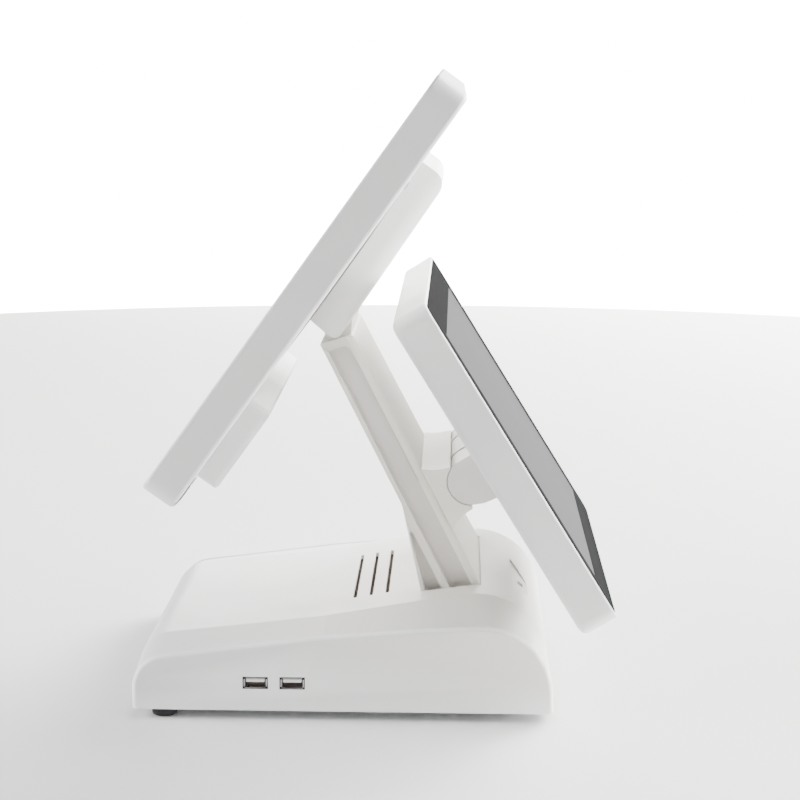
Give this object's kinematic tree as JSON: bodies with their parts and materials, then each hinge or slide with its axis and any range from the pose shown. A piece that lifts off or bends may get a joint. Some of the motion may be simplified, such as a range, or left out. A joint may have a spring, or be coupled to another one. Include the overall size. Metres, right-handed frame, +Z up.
{
  "type": "dual screen point-of-sale terminal",
  "caption": "White counter-top till with a sloped base, a leaning arm, a tilting main touch screen and a smaller tilting customer screen behind the arm.",
  "frame": {"origin": "centre of the bounding box at the counter plane, under the base", "axes": "+X across the screens to the side with the USB receptacles, +Y towards the customer, +Z up"},
  "size_m": [0.344, 0.2688, 0.3569],
  "materials": {
    "white_plastic": "satin",
    "black_rubber": "matt",
    "zinc_steel": "satin",
    "black_plastic": "satin",
    "green_board": "satin",
    "brass": "satin",
    "aluminium": "satin",
    "blue_plastic": "satin",
    "screen_glass": "gloss",
    "lcd_panel": "satin"
  },
  "bodies": {
    "stand": {"base_cover": "white_plastic", "neck_collar": "white_plastic", "bottom_plate": "zinc_steel", "rubber_feet": "black_rubber", "base_screws": "zinc_steel", "mainboard": "green_board", "board_standoffs": "brass", "heat_sink": "aluminium", "solid_state_drive": "black_plastic", "speaker": "black_plastic", "side_usb_shells": "zinc_steel", "side_usb_tongues": "black_plastic", "io_board": "green_board", "io_bracket": "zinc_steel", "network_jack": "zinc_steel", "rear_usb_stack": "zinc_steel", "video_port": "blue_plastic", "serial_port": "zinc_steel", "drawer_jack": "black_plastic", "power_inlet": "black_plastic", "power_switch": "black_plastic", "arm_foot_bracket": "zinc_steel", "arm_spine": "zinc_steel", "arm_shell": "white_plastic", "arm_rear_cover": "white_plastic", "arm_screws": "zinc_steel", "neck_cover": "white_plastic", "tilt_yoke": "zinc_steel", "customer_cradle": "white_plastic", "customer_yoke": "zinc_steel"},
    "main_display": {"main_frame": "white_plastic", "main_glass": "screen_glass", "main_panel": "lcd_panel", "main_back_seal": "black_rubber", "main_back_cover": "white_plastic", "hinge_housing": "white_plastic", "lower_housing": "white_plastic", "panel_driver_board": "green_board", "main_screws": "zinc_steel", "tilt_shaft": "zinc_steel", "tilt_washers": "brass", "tilt_nuts": "zinc_steel", "tilt_leaves": "zinc_steel"},
    "customer_display": {"customer_shaft": "zinc_steel", "customer_knuckle": "white_plastic", "customer_housing": "white_plastic", "customer_glass": "screen_glass", "customer_panel": "lcd_panel", "customer_board": "green_board", "customer_screws": "zinc_steel"},
    "power_key": {"power_button": "white_plastic"}
  },
  "joints": [
    {"name": "main_tilt", "type": "hinge", "parent": "stand", "child": "main_display", "pos_m": [0, -0.02273, 0.2217], "axis": [1, 0, 0], "range_deg": [-10, 32]},
    {"name": "customer_tilt", "type": "hinge", "parent": "stand", "child": "customer_display", "pos_m": [0, 0.05517, 0.1269], "axis": [1, 0, 0], "range_deg": [-9, 5]},
    {"name": "power_press", "type": "slide", "parent": "stand", "child": "power_key", "axis": [1, 0, 0], "range_m": [0, 0.0012], "stiffness_N_per_m": 500, "springref_m": -0.0006}
  ]
}
